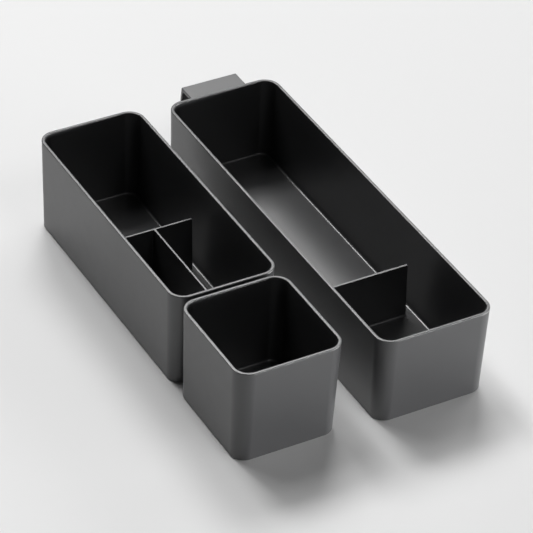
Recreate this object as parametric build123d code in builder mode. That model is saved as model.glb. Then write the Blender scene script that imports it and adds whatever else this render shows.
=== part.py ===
# Drawer storage set: a long hanging bin, a medium bin and a cube bin, moulded in black plastic,
# with a loose foot-plate divider in the long bin and a loose tee divider in the medium bin.
# Units are millimetres. +Z is up, +Y runs to the back along the bins, and the origin lies on the
# standing surface under the middle of the whole set.
import os
from math import radians, tan

from build123d import *

os.makedirs("parts", exist_ok=True)

# Outside sizes of the bins, taken at the rim
small_bin_width = 100.0
small_bin_height = 93.0
cube_length = 109.0
medium_length = 264.0
long_bin_width = 110.0
long_bin_length = 385.0
long_bin_height = 86.0

# Moulding sizes shared by the three bins
wall = 3.0
draft_angle = 1.5
corner_radius = 15.0
rim_chamfer = 0.6
base_edge_chamfer = 1.0
floor_thickness = 2.6
floor_fillet = 2.5
foot_height = 3.4
foot_width = 4.5

# Places of the bins in the set
pair_gap = 3.2
row_gap = 29.8
front_step = 6.1

# Hanging hook on the back wall of the long bin
hook_width = 56.0
hook_gap = 16.8
hook_drop = 20.0
hook_plate = 3.6
hook_leg = 3.0
hook_lead = 2.0
hook_step = 0.9
hook_outer_bend = 1.2
hook_inner_bend = 0.8
hook_edge_chamfer = 0.5

# Dividers
divider_height = 56.5
divider_top_thickness = 2.0
divider_face_draft = 0.5
divider_end_draft = 2.2
divider_edge_chamfer = 0.4
seat_clearance = 0.2
long_divider_setback = 107.0
long_divider_end_clearance = 0.75
foot_plate_length = 60.0
foot_plate_thickness = 2.0
foot_plate_corner = 8.0
foot_plate_fillet = 3.0
tee_side_clearance = 6.1
tee_front_clearance = 6.1


def draft_run(height, angle=draft_angle):
    """How far a face leans in over a height."""
    return height * tan(radians(angle))


floor_top = foot_height + floor_thickness
hook_reach = hook_gap + hook_leg + hook_lead

# Middle of each bin, seen from above
set_width = small_bin_width + row_gap + long_bin_width
set_length = long_bin_length + hook_reach
set_front = -set_length / 2
small_bin_x = -set_width / 2 + small_bin_width / 2
long_bin_x = set_width / 2 - long_bin_width / 2
long_bin_y = set_front + long_bin_length / 2
cube_y = set_front + front_step + cube_length / 2
medium_y = cube_y + cube_length / 2 + pair_gap + medium_length / 2


def open_bin(place, width, length, height):
    """One drafted, round-cornered bin with a raised floor on a foot rim."""
    rim_plane = Plane(origin=(*place, height))
    base_plane = Plane(origin=(*place, 0))
    base_inset = draft_run(height) + foot_width
    depth = height - floor_top

    with BuildPart() as shell:
        with BuildSketch(rim_plane):
            RectangleRounded(width, length, corner_radius)
        extrude(amount=-height, taper=draft_angle)
        chamfer(shell.faces().sort_by(Axis.Z)[0].edges(), base_edge_chamfer)

        with BuildSketch(rim_plane):
            RectangleRounded(width - 2 * wall, length - 2 * wall, corner_radius - wall)
        extrude(amount=-depth, taper=draft_angle, mode=Mode.SUBTRACT)
        cavity_floor = shell.faces().filter_by(Plane.XY).sort_by(Axis.Z)[1]
        fillet(cavity_floor.edges(), floor_fillet)
        chamfer(shell.faces().sort_by(Axis.Z)[-1].edges(), rim_chamfer)

        with BuildSketch(base_plane):
            RectangleRounded(width - 2 * base_inset, length - 2 * base_inset, corner_radius - foot_width)
        extrude(amount=foot_height, taper=draft_angle, mode=Mode.SUBTRACT)
    return shell.part


with BuildPart() as cube_bin:
    add(open_bin((small_bin_x, cube_y), small_bin_width, cube_length, small_bin_height))
cube_bin.part.label = "cube_bin"
export_step(cube_bin.part, "parts/cube_bin.step")

with BuildPart() as medium_bin:
    add(open_bin((small_bin_x, medium_y), small_bin_width, medium_length, small_bin_height))
medium_bin.part.label = "medium_bin"
export_step(medium_bin.part, "parts/medium_bin.step")

# The hook is moulded in one with the long bin: its plate starts inside the back wall, and its leg
# leans out towards the tip to lead onto a panel
hook_root = long_bin_y + long_bin_length / 2 - wall / 2 - draft_run(hook_step + hook_plate)
hook_rear = long_bin_y + long_bin_length / 2 + hook_gap + hook_leg
hook_tip_rear = hook_rear + hook_lead
hook_top = long_bin_height - hook_step
hook_tip = hook_top - hook_drop

with BuildPart() as hook:
    with BuildSketch(Plane.YZ.offset(long_bin_x - hook_width / 2)) as hook_section:
        with BuildLine():
            Polyline(
                (hook_root, hook_top),
                (hook_rear, hook_top),
                (hook_tip_rear, hook_tip),
                (hook_tip_rear - hook_leg, hook_tip),
                (hook_rear - hook_leg, hook_top - hook_plate),
                (hook_root, hook_top - hook_plate),
                close=True,
            )
        make_face()
        inner_bend = hook_section.vertices().group_by(Axis.Y)[1].sort_by(Axis.X)[-1]
        fillet(inner_bend, hook_inner_bend)
        outer_bend = hook_section.vertices().group_by(Axis.Y)[-1].sort_by(Axis.X)[-1]
        fillet(outer_bend, hook_outer_bend)
    extrude(amount=hook_width)
    tip_edges = hook.faces().sort_by(Axis.Z)[0].edges().filter_by(Axis.X)
    end_edges = hook.faces().filter_by(Axis.X).edges()
    chamfer(end_edges + tip_edges, hook_edge_chamfer)

with BuildPart() as long_bin:
    add(open_bin((long_bin_x, long_bin_y), long_bin_width, long_bin_length, long_bin_height))
    add(hook.part)
long_bin.part.label = "long_bin"
export_step(long_bin.part, "parts/long_bin.step")

# Inside of the long bin at its floor: the upright is as wide as the straight stretch between the
# round corners, so the divider can be pushed right up to either end wall
long_floor_inset = wall + draft_run(long_bin_height - floor_top)
long_inner_half_width = long_bin_width / 2 - long_floor_inset
long_inner_corner = corner_radius - long_floor_inset
upright_foot_width = 2 * (long_inner_half_width - long_inner_corner - long_divider_end_clearance)
upright_top_width = upright_foot_width - 2 * draft_run(divider_height, divider_end_draft)
divider_foot_thickness = divider_top_thickness + 2 * draft_run(divider_height, divider_face_draft)
long_inner_front = long_bin_y - long_bin_length / 2 + long_floor_inset
upright_y = long_inner_front + long_divider_setback
long_seat = Plane(origin=(long_bin_x, upright_y, floor_top + seat_clearance))

with BuildPart() as long_divider:
    with BuildSketch(long_seat) as foot_outline:
        with Locations((0, divider_foot_thickness / 2)):
            Rectangle(upright_foot_width, foot_plate_length, align=(Align.CENTER, Align.MAX))
        fillet(foot_outline.vertices().group_by(Axis.Y)[0], foot_plate_corner)
    extrude(amount=foot_plate_thickness)
    with BuildSketch(long_seat.offset(foot_plate_thickness)):
        Rectangle(upright_foot_width, divider_foot_thickness)
    with BuildSketch(long_seat.offset(divider_height)):
        Rectangle(upright_top_width, divider_top_thickness)
    loft()
    foot_corner = long_divider.edges().filter_by(Axis.X).group_by(Axis.Z)[1].sort_by(Axis.Y)[1]
    fillet(foot_corner, foot_plate_fillet)
    chamfer(long_divider.faces().sort_by(Axis.Z)[-1].edges(), divider_edge_chamfer)
long_divider.part.label = "long_divider"
export_step(long_divider.part, "parts/long_divider.step")

# The tee stands in the middle of the medium bin: the cross plate halves its length, and the stem
# splits the front half into two cells
medium_floor_inset = wall + draft_run(small_bin_height - floor_top)
cross_foot_width = small_bin_width - 2 * (medium_floor_inset + tee_side_clearance)
cross_top_width = cross_foot_width - 2 * draft_run(divider_height, divider_end_draft)
stem_foot_length = medium_length / 2 - medium_floor_inset - tee_front_clearance
stem_top_length = stem_foot_length - draft_run(divider_height, divider_end_draft)
medium_seat = Plane(origin=(small_bin_x, medium_y, floor_top + seat_clearance))

with BuildPart() as tee_divider:
    with BuildSketch(medium_seat):
        Rectangle(cross_foot_width, divider_foot_thickness)
    with BuildSketch(medium_seat.offset(divider_height)):
        Rectangle(cross_top_width, divider_top_thickness)
    loft()
    with BuildSketch(medium_seat):
        Rectangle(divider_foot_thickness, stem_foot_length, align=(Align.CENTER, Align.MAX))
    with BuildSketch(medium_seat.offset(divider_height)):
        Rectangle(divider_top_thickness, stem_top_length, align=(Align.CENTER, Align.MAX))
    loft()
    chamfer(tee_divider.faces().sort_by(Axis.Z)[-1].edges(), divider_edge_chamfer)
tee_divider.part.label = "tee_divider"
export_step(tee_divider.part, "parts/tee_divider.step")
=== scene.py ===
"""Looks of a drawer storage set: three black moulded bins and two loose dividers.

Each bin is one Geometry Nodes sweep: its wall section is laid out from named sizes, carried round a
round-cornered rectangle and closed by a floor. The panel hook and the dividers are mesh code.
Sizes of the set are in millimetres and become metres where its meshes are made. Sizes of the studio
are in metres, angles in degrees and the power of lights in watts.
"""
import logging
import math
from dataclasses import dataclass
from enum import Enum
from typing import Any

import bmesh
import bpy
from mathutils import Matrix, Vector

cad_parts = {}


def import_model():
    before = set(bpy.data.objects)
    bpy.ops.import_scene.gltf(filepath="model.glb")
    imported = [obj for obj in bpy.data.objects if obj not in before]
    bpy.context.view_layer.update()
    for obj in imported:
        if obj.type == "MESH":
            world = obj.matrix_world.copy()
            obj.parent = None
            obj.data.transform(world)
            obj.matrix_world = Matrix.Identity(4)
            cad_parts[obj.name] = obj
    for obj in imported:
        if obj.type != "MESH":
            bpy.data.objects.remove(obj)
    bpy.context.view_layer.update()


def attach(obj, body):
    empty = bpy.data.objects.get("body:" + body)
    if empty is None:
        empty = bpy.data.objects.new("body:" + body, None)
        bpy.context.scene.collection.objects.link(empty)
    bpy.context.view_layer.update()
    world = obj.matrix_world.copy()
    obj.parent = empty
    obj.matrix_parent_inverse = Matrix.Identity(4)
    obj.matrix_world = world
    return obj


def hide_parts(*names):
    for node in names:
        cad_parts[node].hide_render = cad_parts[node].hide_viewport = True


LOG = logging.getLogger("storage_set")
MM = 0.001
# How far large faces rule the shading of an edge, from 1 to 100, where 50 is even
NORMAL_WEIGHT = 100
# Steps of a rounded edge, and the bend in degrees from which an edge is rounded
EDGE_STEPS = 3
EDGE_ANGLE = 40.0
# The bevel profile that is a true arc
ARC_PROFILE = 0.5

Point = tuple[float, float]
Triple = tuple[float, float, float]


# Measures


def draft_run(height: float, degrees: float) -> float:
    """How far a face that leans by an angle runs in over a height."""
    return height * math.tan(math.radians(degrees))


def arc(centre: Point, radius: float, start: float, end: float, steps: int) -> list[Point]:
    """Points along a circular arc.

    Args:
        centre: Middle of the circle.
        radius: Radius of the circle.
        start: Angle of the first point, in degrees.
        end: Angle of the last point, in degrees.
        steps: Number of straight steps that stand for the arc.

    Returns:
        The points, both ends included.
    """
    angles = [math.radians(start + (end - start) * i / steps) for i in range(steps + 1)]
    return [(centre[0] + radius * math.cos(a), centre[1] + radius * math.sin(a)) for a in angles]


def bearing(azimuth: float, elevation: float) -> Vector:
    """Direction from the set towards a place in the studio.

    Args:
        azimuth: Degrees from the front, positive to the right.
        elevation: Degrees above the floor.

    Returns:
        The direction, with a length of one.
    """
    turn, rise = math.radians(azimuth), math.radians(elevation)
    level = math.cos(rise)
    return Vector((math.sin(turn) * level, -math.cos(turn) * level, math.sin(rise)))


# Mesh work that the pieces share


def new_object(name: str, mesh: bpy.types.Mesh) -> bpy.types.Object:
    """Links a new object with a mesh into the scene.

    Args:
        name: Name of the object.
        mesh: Its mesh.

    Returns:
        The object.
    """
    made = bpy.data.objects.new(name, mesh)
    bpy.context.scene.collection.objects.link(made)
    return made


def settle(piece: bpy.types.Object) -> bpy.types.Object:
    """Turns what a piece's modifiers make into its plain mesh, with area-weighted normals.

    Args:
        piece: The object with its modifiers.

    Returns:
        The same object, with no modifiers.
    """
    weighted = piece.modifiers.new("weighted", "WEIGHTED_NORMAL")
    weighted.weight = NORMAL_WEIGHT
    weighted.keep_sharp = True
    old = piece.data
    graph = bpy.context.evaluated_depsgraph_get()
    fresh = bpy.data.meshes.new_from_object(piece.evaluated_get(graph), depsgraph=graph)
    piece.modifiers.clear()
    piece.data = fresh
    bpy.data.meshes.remove(old)
    fresh.name = piece.name
    return piece


def join_rings(
    shape: bmesh.types.BMesh, low: list[bmesh.types.BMVert], high: list[bmesh.types.BMVert]
) -> None:
    """Joins two rings of the same number of points by a band of faces.

    Args:
        shape: The mesh that holds the points.
        low: The first ring.
        high: The second ring.
    """
    for i in range(len(low)):
        j = (i + 1) % len(low)
        shape.faces.new((low[i], low[j], high[j], high[i]))


def close_loft(
    shape: bmesh.types.BMesh, low: list[bmesh.types.BMVert], high: list[bmesh.types.BMVert]
) -> None:
    """Joins two rings of the same number of points into a closed body.

    Args:
        shape: The mesh that holds the points.
        low: The ring at one end.
        high: The ring at the other end.
    """
    join_rings(shape, low, high)
    shape.faces.new(list(reversed(low)))
    shape.faces.new(high)
    bmesh.ops.recalc_face_normals(shape, faces=shape.faces[:])


def rounded_piece(
    name: str, shape: bmesh.types.BMesh, plastic: bpy.types.Material, edge_round: float
) -> bpy.types.Object:
    """Turns a closed shape into a piece with rounded edges.

    Args:
        name: Name of the piece.
        shape: The closed shape, which is used up.
        plastic: Its material.
        edge_round: Width of the rounding on its sharp edges.

    Returns:
        The piece.
    """
    mesh = bpy.data.meshes.new(name)
    shape.to_mesh(mesh)
    shape.free()
    mesh.materials.append(plastic)
    for face in mesh.polygons:
        face.use_smooth = True
    piece = new_object(name, mesh)
    bevel = piece.modifiers.new("edges", "BEVEL")
    bevel.width = edge_round * MM
    bevel.segments = EDGE_STEPS
    bevel.limit_method = "ANGLE"
    bevel.angle_limit = math.radians(EDGE_ANGLE)
    return settle(piece)


def finish_piece(piece: bpy.types.Object, body: str, replaced: str | None) -> None:
    """Hangs a finished piece on its body.

    Args:
        piece: The finished piece.
        body: CAD body that it moves with.
        replaced: CAD node that it stands for, if any.
    """
    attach(piece, body)
    if replaced:
        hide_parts(replaced)


# Finishes


class Grain(Enum):
    """How the mould's steel was grained, as the roughness range of the plastic it leaves."""

    SATIN = (0.348, 0.372)
    FINE_SATIN = (0.338, 0.362)


@dataclass(frozen=True)
class MouldedPlastic:
    """Black moulded plastic: fine satin grain, faint cloudiness and lightly rubbed patches."""

    name: str
    grain: Grain
    deep: Triple = (0.0245, 0.025, 0.0265)
    cloudy: Triple = (0.0295, 0.030, 0.0315)
    specular: float = 1.0
    refraction: float = 1.55
    cloud_scale: float = 14.0
    cloud_detail: float = 3.0
    rub_scale: float = 75.0
    rub_detail: float = 5.0
    rub_range: Point = (0.3, 0.7)
    grain_scale: float = 2600.0
    grain_detail: float = 2.0
    grain_strength: float = 0.35
    grain_depth: float = 0.03

    def material(self) -> bpy.types.Material:
        """Lays the finish out as shader nodes.

        Returns:
            The material.
        """
        made = bpy.data.materials.new(self.name)
        made.use_nodes = True
        made.diffuse_color = (*self.deep, 1.0)
        tree = made.node_tree
        shader = tree.nodes["Principled BSDF"]
        shader.inputs["Specular IOR Level"].default_value = self.specular
        shader.inputs["IOR"].default_value = self.refraction
        where = tree.nodes.new("ShaderNodeTexCoord").outputs["Object"]

        clouds = self._noise(tree, where, self.cloud_scale, self.cloud_detail)
        tint = tree.nodes.new("ShaderNodeMix")
        tint.data_type = "RGBA"
        tint.inputs["A"].default_value = (*self.deep, 1.0)
        tint.inputs["B"].default_value = (*self.cloudy, 1.0)
        tree.links.new(clouds, tint.inputs["Factor"])
        tree.links.new(tint.outputs["Result"], shader.inputs["Base Color"])

        rubs = self._noise(tree, where, self.rub_scale, self.rub_detail)
        polish = tree.nodes.new("ShaderNodeMapRange")
        polish.inputs["From Min"].default_value = self.rub_range[0]
        polish.inputs["From Max"].default_value = self.rub_range[1]
        polish.inputs["To Min"].default_value = self.grain.value[0]
        polish.inputs["To Max"].default_value = self.grain.value[1]
        tree.links.new(rubs, polish.inputs["Value"])
        tree.links.new(polish.outputs["Result"], shader.inputs["Roughness"])

        pits = self._noise(tree, where, self.grain_scale, self.grain_detail)
        bump = tree.nodes.new("ShaderNodeBump")
        bump.inputs["Strength"].default_value = self.grain_strength
        bump.inputs["Distance"].default_value = self.grain_depth * MM
        tree.links.new(pits, bump.inputs["Height"])
        tree.links.new(bump.outputs["Normal"], shader.inputs["Normal"])
        return made

    @staticmethod
    def _noise(
        tree: bpy.types.NodeTree, where: bpy.types.NodeSocket, scale: float, detail: float
    ) -> bpy.types.NodeSocket:
        """Adds one noise pattern.

        Args:
            tree: The material's nodes and links.
            where: Coordinates that the pattern follows.
            scale: Number of features in a metre.
            detail: Octaves of finer noise.

        Returns:
            The pattern's value socket.
        """
        noise = tree.nodes.new("ShaderNodeTexNoise")
        noise.inputs["Scale"].default_value = scale
        noise.inputs["Detail"].default_value = detail
        tree.links.new(where, noise.inputs["Vector"])
        return noise.outputs["Fac"]


# Bins


class BinSweep:
    """The Geometry Nodes tree that makes a bin from its named sizes."""

    SIZES = (
        "Width",
        "Length",
        "Height",
        "Corner Radius",
        "Wall",
        "Draft",
        "Rim Round",
        "Base Edge Radius",
        "Floor Top",
        "Floor Fillet",
        "Foot Height",
        "Foot Width",
        "Foot Round",
    )
    # Steps of the path's corners and of the section's rounds
    CORNER_STEPS = 18
    ROUND_STEPS = 6
    # Where the section leaves off on the floor, in fillet radii from the wall's foot
    FLOOR_REACH = 1.4
    # How far the section runs on under the floor
    LAND = 1.0 * MM
    # Points nearer than this become one
    MERGE = 0.002 * MM
    # Numbers of the Compare node's inputs for whole numbers
    COMPARE_A = 2
    COMPARE_B = 3

    def __init__(self) -> None:
        """Lays the tree."""
        self.tree = bpy.data.node_groups.new("bin_sweep", "GeometryNodeTree")
        self.keys: dict[str, str] = {}
        face = self.tree.interface
        face.new_socket(name="Geometry", in_out="OUTPUT", socket_type="NodeSocketGeometry")
        for name in self.SIZES:
            self._input(name, "NodeSocketFloat")
        self._input("Place", "NodeSocketVector")
        self._input("Plastic", "NodeSocketMaterial")
        self._lay()

    def _input(self, name: str, kind: str) -> None:
        """Adds a named input and keeps its identifier."""
        socket = self.tree.interface.new_socket(name=name, in_out="INPUT", socket_type=kind)
        self.keys[name] = socket.identifier

    def _feed(self, socket: bpy.types.NodeSocket, value: Any) -> None:
        """Gives a node's input a value, or links it to another node's result.

        Args:
            socket: The input.
            value: A socket to link or a value to set.
        """
        if isinstance(value, bpy.types.NodeSocket):
            self.tree.links.new(value, socket)
        else:
            socket.default_value = value

    def _node(
        self, kind: str, feeds: dict[str | int, Any] | None = None, **settings: Any
    ) -> bpy.types.Node:
        """Adds a node.

        Args:
            kind: The node's type name.
            feeds: A socket to link or a value to set, for each input by name or number.
            **settings: The node's own properties.

        Returns:
            The node.
        """
        made = self.tree.nodes.new(kind)
        for key, value in settings.items():
            setattr(made, key, value)
        for key, value in (feeds or {}).items():
            self._feed(made.inputs[key], value)
        return made

    def _result(
        self, kind: str, feeds: dict[str | int, Any] | None = None, **settings: Any
    ) -> bpy.types.NodeSocket:
        """Adds a node and gives its first result."""
        return self._node(kind, feeds, **settings).outputs[0]

    def _math(self, operation: str, *terms: Any) -> bpy.types.NodeSocket:
        """Adds a math node and gives its result."""
        return self._result("ShaderNodeMath", dict(enumerate(terms)), operation=operation)

    def _by_index(self, kind: str, items: list[Any]) -> bpy.types.NodeSocket:
        """Gives each point of a line its own value, by the point's number.

        Args:
            kind: The data type, "VECTOR" or "FLOAT".
            items: One socket or value for each point.

        Returns:
            The value socket.
        """
        index = self._result("GeometryNodeInputIndex")
        chosen = self._node("GeometryNodeIndexSwitch", data_type=kind)
        while len(chosen.index_switch_items) < len(items):
            chosen.index_switch_items.new()
        self._feed(chosen.inputs["Index"], index)
        for number, item in enumerate(items, start=1):
            self._feed(chosen.inputs[number], item)
        return chosen.outputs[0]

    def _path(self, size: dict[str, bpy.types.NodeSocket]) -> bpy.types.NodeSocket:
        """Lays the round-cornered rectangle that the section is carried round.

        Args:
            size: The tree's input sockets by name.

        Returns:
            The path as a curve.
        """
        feeds = {"Width": size["Width"], "Height": size["Length"]}
        box = self._result("GeometryNodeCurvePrimitiveQuadrilateral", feeds, mode="RECTANGLE")
        feeds = {"Curve": box, "Count": self.CORNER_STEPS, "Radius": size["Corner Radius"]}
        rounded = self._result("GeometryNodeFilletCurve", feeds, mode="POLY")
        return self._result("GeometryNodeSetCurveNormal", {"Curve": rounded}, mode="Z_UP")

    def _section(self, size: dict[str, bpy.types.NodeSocket]) -> bpy.types.NodeSocket:
        """Lays the wall's cross-section, from the floor over the rim and under the foot.

        Args:
            size: The tree's input sockets by name.

        Returns:
            The section as a curve, turned round because a sweep's x runs outwards and its y down.
        """
        lean = self._math("TANGENT", size["Draft"])
        outer_foot = self._math("MULTIPLY", lean, size["Height"])
        depth = self._math("SUBTRACT", size["Height"], size["Floor Top"])
        inner_foot = self._math("MULTIPLY_ADD", lean, depth, size["Wall"])
        fillet = size["Floor Fillet"]
        floor_edge = self._math("MULTIPLY_ADD", fillet, self.FLOOR_REACH, inner_foot)
        foot_edge = self._math("ADD", outer_foot, size["Foot Width"])
        recess_edge = self._math("MULTIPLY_ADD", lean, size["Foot Height"], foot_edge)
        recess_end = self._math("ADD", recess_edge, self.LAND)
        stations = [
            (floor_edge, size["Floor Top"], 0.0),
            (inner_foot, size["Floor Top"], fillet),
            (size["Wall"], size["Height"], size["Rim Round"]),
            (0.0, size["Height"], size["Rim Round"]),
            (outer_foot, 0.0, size["Base Edge Radius"]),
            (foot_edge, 0.0, size["Foot Round"]),
            (recess_edge, size["Foot Height"], size["Foot Round"]),
            (recess_end, size["Foot Height"], 0.0),
        ]
        places = [
            self._result("ShaderNodeCombineXYZ", {"X": inset, "Y": height})
            for inset, height, _ in stations
        ]
        line = self._result("GeometryNodeMeshLine", {"Count": len(stations)})
        feeds = {"Geometry": line, "Position": self._by_index("VECTOR", places)}
        bent = self._result("GeometryNodeSetPosition", feeds)
        curve = self._result("GeometryNodeMeshToCurve", {"Mesh": bent})
        rounds = self._by_index("FLOAT", [radius for _, _, radius in stations])
        feeds = {"Curve": curve, "Count": self.ROUND_STEPS, "Radius": rounds}
        rounded = self._result("GeometryNodeFilletCurve", feeds, mode="POLY")
        feeds = {"Geometry": rounded, "Rotation": (0.0, 0.0, math.pi)}
        return self._result("GeometryNodeTransform", feeds)

    def _cap(
        self,
        shell: bpy.types.NodeSocket,
        height: bpy.types.NodeSocket,
        middle: bpy.types.NodeSocket,
        above: bool,
    ) -> bpy.types.NodeSocket:
        """Closes one of the swept wall's two open edges with a flat face.

        Args:
            shell: The swept wall.
            height: Height of the face.
            middle: Height that parts the upper open edge from the lower one.
            above: True for the upper edge, the floor, and False for the recess under it.

        Returns:
            The face as a mesh.
        """
        faces = self._node("GeometryNodeInputMeshEdgeNeighbors").outputs["Face Count"]
        feeds = {self.COMPARE_A: faces, self.COMPARE_B: 1}
        lone = self._result("FunctionNodeCompare", feeds, data_type="INT", operation="EQUAL")
        spot = self._result("GeometryNodeInputPosition")
        spot_height = self._node("ShaderNodeSeparateXYZ", {0: spot}).outputs["Z"]
        side = self._math("GREATER_THAN" if above else "LESS_THAN", spot_height, middle)
        chosen = self._result("FunctionNodeBooleanMath", {0: lone, 1: side}, operation="AND")
        loop = self._result("GeometryNodeMeshToCurve", {"Mesh": shell, "Selection": chosen})
        sheet = self._result("GeometryNodeFillCurve", {"Curve": loop}, mode="NGONS")
        if not above:
            sheet = self._result("GeometryNodeFlipFaces", {"Mesh": sheet})
        lift = self._result("ShaderNodeCombineXYZ", {"Z": height})
        return self._result("GeometryNodeTransform", {"Geometry": sheet, "Translation": lift})

    def _lay(self) -> None:
        """Lays the whole tree: path, section, sweep, floor, place and plastic."""
        inlet = self._node("NodeGroupInput")
        size = {name: inlet.outputs[name] for name in self.keys}
        feeds = {"Curve": self._path(size), "Profile Curve": self._section(size)}
        shell = self._result("GeometryNodeCurveToMesh", feeds)
        both = self._math("ADD", size["Floor Top"], size["Foot Height"])
        middle = self._math("DIVIDE", both, 2.0)
        floor = self._cap(shell, size["Floor Top"], middle, above=True)
        recess = self._cap(shell, size["Foot Height"], middle, above=False)
        whole = self._node("GeometryNodeJoinGeometry")
        for portion in (recess, floor, shell):
            self.tree.links.new(portion, whole.inputs[0])
        feeds = {"Geometry": whole.outputs[0], "Distance": self.MERGE}
        merged = self._result("GeometryNodeMergeByDistance", feeds)
        smooth = self._result("GeometryNodeSetShadeSmooth", {"Geometry": merged})
        feeds = {"Geometry": smooth, "Translation": size["Place"]}
        placed = self._result("GeometryNodeTransform", feeds)
        real = self._result("GeometryNodeRealizeInstances", {"Geometry": placed})
        feeds = {"Geometry": real, "Material": size["Plastic"]}
        dressed = self._result("GeometryNodeSetMaterial", feeds)
        self._node("NodeGroupOutput", {"Geometry": dressed})

    def make(self, name: str, values: dict[str, Any]) -> bpy.types.Object:
        """Runs the tree once and keeps the result as a plain mesh.

        Args:
            name: Name of the piece.
            values: One value for each of the tree's inputs, by its name.

        Returns:
            The piece, linked into the scene.
        """
        holder = new_object(name, bpy.data.meshes.new(name))
        sweep = holder.modifiers.new("sweep", "NODES")
        sweep.node_group = self.tree
        for key, value in values.items():
            sweep[self.keys[key]] = value
        return settle(holder)


@dataclass
class Bin:
    """One open bin: a drafted, round-cornered box with a raised floor on a foot rim."""

    node: str
    plastic: bpy.types.Material
    place: Point
    width: float
    length: float
    height: float
    corner_radius: float = 15.0
    wall: float = 3.0
    draft: float = 1.5
    rim_round: float = 0.8
    base_edge_radius: float = 1.5
    floor_top: float = 6.0
    floor_fillet: float = 2.5
    foot_height: float = 3.4
    foot_width: float = 4.5
    foot_round: float = 0.5

    @property
    def floor_inset(self) -> float:
        """How far the inner wall's foot lies inside the rim's outline."""
        return self.wall + draft_run(self.height - self.floor_top, self.draft)

    def build(self, sweep: BinSweep) -> bpy.types.Object:
        """Sweeps the bin and hangs it on its body.

        Args:
            sweep: The tree that makes bins.

        Returns:
            The bin.
        """
        sizes = {
            "Width": self.width,
            "Length": self.length,
            "Height": self.height,
            "Corner Radius": self.corner_radius,
            "Wall": self.wall,
            "Rim Round": self.rim_round,
            "Base Edge Radius": self.base_edge_radius,
            "Floor Top": self.floor_top,
            "Floor Fillet": self.floor_fillet,
            "Foot Height": self.foot_height,
            "Foot Width": self.foot_width,
            "Foot Round": self.foot_round,
        }
        values: dict[str, Any] = {name: size * MM for name, size in sizes.items()}
        values["Draft"] = math.radians(self.draft)
        values["Place"] = Vector((*self.place, 0.0)) * MM
        values["Plastic"] = self.plastic
        piece = sweep.make(f"{self.node}_shell", values)
        finish_piece(piece, self.node, self.node)
        return piece


@dataclass
class PanelHook:
    """Flat hook behind the long bin's back wall, for hanging it over a panel."""

    plastic: bpy.types.Material
    carrier: Bin
    width: float = 56.0
    gap: float = 16.8
    drop: float = 20.0
    plate: float = 3.6
    leg: float = 3.0
    lead: float = 2.0
    step: float = 0.9
    outer_bend: float = 1.2
    inner_bend: float = 0.8
    bend_steps: int = 6
    root_depth: float = 1.6
    edge_round: float = 0.9

    def section(self) -> list[Point]:
        """The hook's outline from the side, root to root round the leg.

        Returns:
            The (y, z) points, anticlockwise seen from -X.
        """
        back = self.carrier.place[1] + self.carrier.length / 2
        root, front = back - self.root_depth, back + self.gap
        rear = front + self.leg
        top = self.carrier.height - self.step
        under, tip = top - self.plate, top - self.drop
        return [
            (root, top),
            *self.bend(rear, top, tip, self.outer_bend),
            (rear + self.lead, tip),
            (front + self.lead, tip),
            *reversed(self.bend(front, under, tip, self.inner_bend)),
            (root, under),
        ]

    def bend(self, y: float, z: float, tip: float, radius: float) -> list[Point]:
        """Rounds the corner between the level plate and the leaning leg.

        Args:
            y: The corner's place along the plate.
            z: The corner's height.
            tip: Height of the leg's lower end.
            radius: Radius of the bend.

        Returns:
            The arc's (y, z) points, from the plate to the leg.
        """
        lean = math.atan2(self.lead, z - tip)
        across = y - radius * (1 - math.sin(lean)) / math.cos(lean)
        return arc((across, z - radius), radius, 90, math.degrees(lean), self.bend_steps)

    def build(self) -> bpy.types.Object:
        """Extrudes the outline, rounds its edges and hangs it on the long bin.

        Returns:
            The hook.
        """
        middle, half = self.carrier.place[0], self.width / 2
        outline = self.section()
        shape = bmesh.new()
        left, right = (
            [shape.verts.new(Vector((x, y, z)) * MM) for y, z in outline]
            for x in (middle - half, middle + half)
        )
        close_loft(shape, left, right)
        piece = rounded_piece("panel_hook", shape, self.plastic, self.edge_round)
        finish_piece(piece, "long_bin", None)
        return piece


# Dividers


@dataclass
class DividerPlate:
    """Sizes that the two dividers share."""

    plastic: bpy.types.Material
    inside: Bin
    seat_clearance: float = 0.2
    height: float = 56.5
    top_thickness: float = 2.0
    face_draft: float = 0.5
    end_draft: float = 2.2
    edge_round: float = 0.45

    @property
    def seat(self) -> float:
        """Height of the underside, just clear of the bin's floor."""
        return self.inside.floor_top + self.seat_clearance

    @property
    def top(self) -> float:
        """Height of the upper edge."""
        return self.seat + self.height

    @property
    def foot_thickness(self) -> float:
        """Thickness of a plate at its foot."""
        return self.top_thickness + 2 * draft_run(self.height, self.face_draft)


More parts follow.
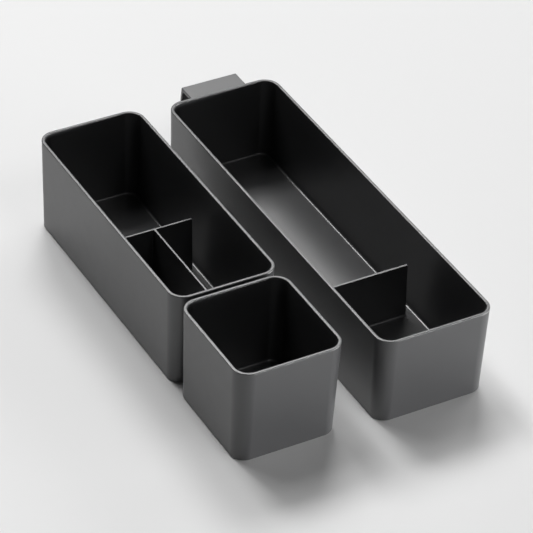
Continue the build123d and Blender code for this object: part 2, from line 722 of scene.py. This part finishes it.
@dataclass
class LongDivider(DividerPlate):
    """Upright plate on a foot plate, loose in the long bin."""

    setback: float = 107.0
    end_clearance: float = 0.75
    foot_plate_length: float = 60.0
    foot_plate_thickness: float = 2.0
    foot_plate_corner: float = 8.0
    corner_steps: int = 10
    foot_fillet: float = 3.0
    fillet_steps: int = 8

    @property
    def upright(self) -> float:
        """Place of the upright plate, set back from the foot of the bin's front wall."""
        front = self.inside.place[1] - self.inside.length / 2 + self.inside.floor_inset
        return front + self.setback

    @property
    def foot_width(self) -> float:
        """Width at the foot, which keeps clear of the floor's rounded corners."""
        return self.inside.width - 2 * (self.inside.corner_radius + self.end_clearance)

    @property
    def plate_top(self) -> float:
        """Height of the foot plate's upper face."""
        return self.seat + self.foot_plate_thickness

    def side_outline(self) -> list[Point]:
        """The divider's outline from the side, from the foot plate's front tip up.

        Returns:
            The (y, z) points.
        """
        half_foot, half_top = self.foot_thickness / 2, self.top_thickness / 2
        front, rear = self.upright - half_foot, self.upright + half_foot
        tip = rear - self.foot_plate_length
        radius = self.foot_fillet
        centre = (front - radius, self.plate_top + radius)
        return [
            (tip, self.seat),
            (tip, self.plate_top),
            *arc(centre, radius, 270, 360 - self.face_draft, self.fillet_steps),
            (self.upright - half_top, self.top),
            (self.upright + half_top, self.top),
            (rear, self.plate_top),
            (rear, self.seat),
        ]

    def half_width(self, z: float) -> float:
        """Half the divider's width at a height, which draws in above the foot plate."""
        return self.foot_width / 2 - draft_run(max(z - self.plate_top, 0.0), self.end_draft)

    def build(self) -> bpy.types.Object:
        """Makes the divider and hangs it on its body.

        Returns:
            The divider.
        """
        middle = self.inside.place[0]
        outline = self.side_outline()
        shape = bmesh.new()
        left, right = (
            [
                shape.verts.new(Vector((middle + side * self.half_width(z), y, z)) * MM)
                for y, z in outline
            ]
            for side in (-1, 1)
        )
        join_rings(shape, left, right)
        # Each end is two faces, because the upright's end leans and the foot plate's doesn't
        for ring in (left, right):
            shape.faces.new(ring[:3] + ring[-2:])
            shape.faces.new(ring[2:-1])
        bmesh.ops.recalc_face_normals(shape, faces=shape.faces[:])
        bmesh.ops.bevel(
            shape,
            geom=[shape.edges.get((ring[0], ring[1])) for ring in (left, right)],
            offset=self.foot_plate_corner * MM,
            offset_type="OFFSET",
            segments=self.corner_steps,
            profile=ARC_PROFILE,
            affect="EDGES",
        )
        piece = rounded_piece("long_divider_plate", shape, self.plastic, self.edge_round)
        finish_piece(piece, "long_divider", "long_divider")
        return piece


@dataclass
class TeeDivider(DividerPlate):
    """Cross plate and stem in one moulding, loose in the medium bin."""

    side_clearance: float = 6.1
    front_clearance: float = 6.1
    junction_round: float = 1.2
    junction_steps: int = 5

    @property
    def cross_width(self) -> float:
        """Width of the cross plate at its foot."""
        return self.inside.width - 2 * (self.inside.floor_inset + self.side_clearance)

    @property
    def stem_length(self) -> float:
        """Length of the stem at its foot, from the middle of the cross plate."""
        return self.inside.length / 2 - self.inside.floor_inset - self.front_clearance

    def outline(self, z: float) -> list[Point]:
        """The tee's outline at a height, anticlockwise from above.

        Args:
            z: Height.

        Returns:
            The (x, y) points.
        """
        up = z - self.seat
        half = self.foot_thickness / 2 - draft_run(up, self.face_draft)
        reach = self.cross_width / 2 - draft_run(up, self.end_draft)
        end = self.stem_length - draft_run(up, self.end_draft)
        radius, steps = self.junction_round, self.junction_steps
        inset = half + radius
        flat = [
            (-reach, half),
            (-reach, -half),
            *arc((-inset, -inset), radius, 90, 0, steps),
            (-half, -end),
            (half, -end),
            *arc((inset, -inset), radius, 180, 90, steps),
            (reach, -half),
            (reach, half),
        ]
        return [(self.inside.place[0] + x, self.inside.place[1] + y) for x, y in flat]

    def build(self) -> bpy.types.Object:
        """Makes the divider and hangs it on its body.

        Returns:
            The divider.
        """
        shape = bmesh.new()
        foot, head = (
            [shape.verts.new(Vector((x, y, z)) * MM) for x, y in self.outline(z)]
            for z in (self.seat, self.top)
        )
        close_loft(shape, foot, head)
        piece = rounded_piece("tee_divider_plates", shape, self.plastic, self.edge_round)
        finish_piece(piece, "tee_divider", "tee_divider")
        return piece


# The whole set


@dataclass(frozen=True)
class SetLayout:
    """Sizes of the three bins, the gaps between them, and the places that follow from both."""

    short_width: float = 100.0
    short_height: float = 93.0
    cube_length: float = 109.0
    medium_length: float = 264.0
    long_width: float = 110.0
    long_length: float = 385.0
    long_height: float = 86.0
    hook_reach: float = PanelHook.gap + PanelHook.leg + PanelHook.lead
    pair_gap: float = 3.2
    row_gap: float = 29.8
    front_step: float = 6.1

    @property
    def right(self) -> float:
        """Right side of the set, whose middle lies at x = 0."""
        return (self.short_width + self.row_gap + self.long_width) / 2

    @property
    def front(self) -> float:
        """Front of the set, whose middle lies at y = 0."""
        return -(self.long_length + self.hook_reach) / 2

    @property
    def long_place(self) -> Point:
        """Middle of the long bin, at the set's right and front."""
        return (self.right - self.long_width / 2, self.front + self.long_length / 2)

    @property
    def cube_place(self) -> Point:
        """Middle of the cube bin, at the set's left and a step behind the long bin's front."""
        y = self.front + self.front_step + self.cube_length / 2
        return (self.short_width / 2 - self.right, y)

    @property
    def medium_place(self) -> Point:
        """Middle of the medium bin, behind the cube bin."""
        x, y = self.cube_place
        return (x, y + (self.cube_length + self.medium_length) / 2 + self.pair_gap)


@dataclass(frozen=True)
class StorageSet:
    """The three bins, the hook and the two dividers."""

    layout: SetLayout = SetLayout()
    bin_finish: MouldedPlastic = MouldedPlastic("bin_plastic_satin", Grain.SATIN)
    divider_finish: MouldedPlastic = MouldedPlastic("divider_plastic_satin", Grain.FINE_SATIN)

    def build(self) -> list[bpy.types.Object]:
        """Makes every piece of the set.

        Returns:
            The pieces.
        """
        lay = self.layout
        sweep = BinSweep()
        black = self.bin_finish.material()
        divider_black = self.divider_finish.material()
        long_bin = Bin(
            "long_bin",
            black,
            place=lay.long_place,
            width=lay.long_width,
            length=lay.long_length,
            height=lay.long_height,
        )
        medium_bin = Bin(
            "medium_bin",
            black,
            place=lay.medium_place,
            width=lay.short_width,
            length=lay.medium_length,
            height=lay.short_height,
        )
        cube_bin = Bin(
            "cube_bin",
            black,
            place=lay.cube_place,
            width=lay.short_width,
            length=lay.cube_length,
            height=lay.short_height,
        )
        return [
            long_bin.build(sweep),
            PanelHook(black, carrier=long_bin).build(),
            medium_bin.build(sweep),
            cube_bin.build(sweep),
            LongDivider(divider_black, inside=long_bin).build(),
            TeeDivider(divider_black, inside=medium_bin).build(),
        ]


# Studio


@dataclass(frozen=True)
class StudioFloor:
    """Pale satin board under the bins."""

    name: str = "pale_board"
    colour: Triple = (0.7, 0.7, 0.7)
    roughness: float = 0.6
    specular: float = 1.0
    refraction: float = 1.8
    half_size: float = 6.0

    def build(self) -> bpy.types.Object:
        """Makes the floor.

        Returns:
            The floor object.
        """
        made = bpy.data.materials.new(self.name)
        made.use_nodes = True
        shader = made.node_tree.nodes["Principled BSDF"]
        shader.inputs["Base Color"].default_value = (*self.colour, 1.0)
        shader.inputs["Roughness"].default_value = self.roughness
        shader.inputs["Specular IOR Level"].default_value = self.specular
        shader.inputs["IOR"].default_value = self.refraction
        half = self.half_size
        points = [(-half, -half, 0.0), (half, -half, 0.0), (half, half, 0.0), (-half, half, 0.0)]
        mesh = bpy.data.meshes.new("floor")
        mesh.from_pydata(points, [], [range(len(points))])
        mesh.materials.append(made)
        floor = new_object("floor", mesh)
        return floor


@dataclass(frozen=True)
class Surroundings:
    """The studio: a white wall all round that ends low above the floor, and a dim ceiling.

    The wall and the ceiling are given as brightness, the wall's top and its fade as degrees.
    """

    wall: float = 0.6
    ceiling: float = 0.03
    wall_top: float = 6.0
    fade: float = 6.0

    def build(self) -> bpy.types.World:
        """Makes the world.

        Returns:
            The world.
        """
        world = bpy.data.worlds.new("studio_walls")
        bpy.context.scene.world = world
        world.use_nodes = True
        nodes, links = world.node_tree.nodes, world.node_tree.links
        sky = nodes["Background"]
        sky.inputs["Color"].default_value = (1.0, 1.0, 1.0, 1.0)
        direction = nodes.new("ShaderNodeTexCoord").outputs["Generated"]
        apart = nodes.new("ShaderNodeSeparateXYZ")
        links.new(direction, apart.inputs[0])
        level = nodes.new("ShaderNodeMapRange")
        level.interpolation_type = "SMOOTHSTEP"
        level.inputs["From Min"].default_value = math.sin(math.radians(self.wall_top))
        level.inputs["From Max"].default_value = math.sin(math.radians(self.wall_top + self.fade))
        level.inputs["To Min"].default_value = self.wall
        level.inputs["To Max"].default_value = self.ceiling
        links.new(apart.outputs["Z"], level.inputs["Value"])
        links.new(level.outputs["Result"], sky.inputs["Strength"])
        return world


@dataclass(frozen=True)
class Softbox:
    """A rectangular soft light that faces the bins."""

    name: str
    azimuth: float
    elevation: float
    size: Point
    power: float
    distance: float = 5.5
    aim: Triple = (0.0, 0.0, 0.04)

    def build(self) -> bpy.types.Object:
        """Hangs the light.

        Returns:
            The light object.
        """
        data = bpy.data.lights.new(self.name, "AREA")
        data.shape = "RECTANGLE"
        data.size, data.size_y = self.size
        data.energy = self.power
        away = bearing(self.azimuth, self.elevation)
        light = bpy.data.objects.new(self.name, data)
        light.location = Vector(self.aim) + away * self.distance
        light.rotation_euler = away.to_track_quat("Z", "Y").to_euler()
        light.visible_camera = False
        bpy.context.scene.collection.objects.link(light)
        return light


@dataclass(frozen=True)
class Viewpoint:
    """The camera, by the angles it looks from and the point it looks at.

    The lens and the sensor are in millimetres, as on a real camera.
    """

    azimuth: float = -31.02
    elevation: float = 37.08
    roll: float = 3.35
    distance: float = 2.80495
    target: Triple = (0.03444, 0.0293, 0.0)
    lens: float = 213.96
    sensor: float = 36.0
    clip: Point = (0.05, 50.0)

    def build(self) -> bpy.types.Object:
        """Sets the camera up as the scene's camera.

        Returns:
            The camera object.
        """
        turn, roll = math.radians(self.azimuth), math.radians(self.roll)
        back = bearing(self.azimuth, self.elevation)
        level = Vector((math.cos(turn), math.sin(turn), 0.0))
        rise = back.cross(level)
        right = level * math.cos(roll) + rise * math.sin(roll)
        up = rise * math.cos(roll) - level * math.sin(roll)
        axes = Matrix((right, up, back)).transposed().to_4x4()
        data = bpy.data.cameras.new("camera")
        data.sensor_width = self.sensor
        data.lens = self.lens
        data.clip_start, data.clip_end = self.clip
        camera = bpy.data.objects.new("camera", data)
        place = Vector(self.target) + back * self.distance
        camera.matrix_world = Matrix.Translation(place) @ axes
        bpy.context.scene.collection.objects.link(camera)
        bpy.context.scene.camera = camera
        return camera


@dataclass(frozen=True)
class Studio:
    """Floor, surroundings, soft lights and camera round the set."""

    floor: StudioFloor = StudioFloor()
    surroundings: Surroundings = Surroundings()
    lights: tuple[Softbox, ...] = (
        Softbox("front_strip", azimuth=50.0, elevation=1.2, size=(4.5, 0.2), power=620.0),
        Softbox("side_light", azimuth=114.0, elevation=26.0, size=(3.2, 2.0), power=66.0),
        Softbox("back_key", azimuth=154.0, elevation=48.0, size=(2.0, 1.8), power=98.0),
        Softbox("back_left", azimuth=186.0, elevation=53.0, size=(1.25, 1.25), power=116.0),
        Softbox("high_left", azimuth=205.0, elevation=64.0, size=(1.25, 1.25), power=50.0),
        Softbox("front_top", azimuth=15.0, elevation=52.0, size=(1.5, 1.5), power=35.0),
    )
    viewpoint: Viewpoint = Viewpoint()

    def build(self) -> None:
        """Sets up the floor, the surroundings, the lights and the camera."""
        self.floor.build()
        self.surroundings.build()
        for light in self.lights:
            light.build()
        self.viewpoint.build()
        bpy.context.scene.view_settings.view_transform = "Standard"


def main() -> None:
    """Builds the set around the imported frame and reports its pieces."""
    logging.basicConfig(level=logging.INFO, format="%(name)s: %(message)s")
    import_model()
    for piece in StorageSet().build():
        LOG.info("%s, %d faces", piece.name, len(piece.data.polygons))
    Studio().build()


if __name__ == "__main__":
    main()
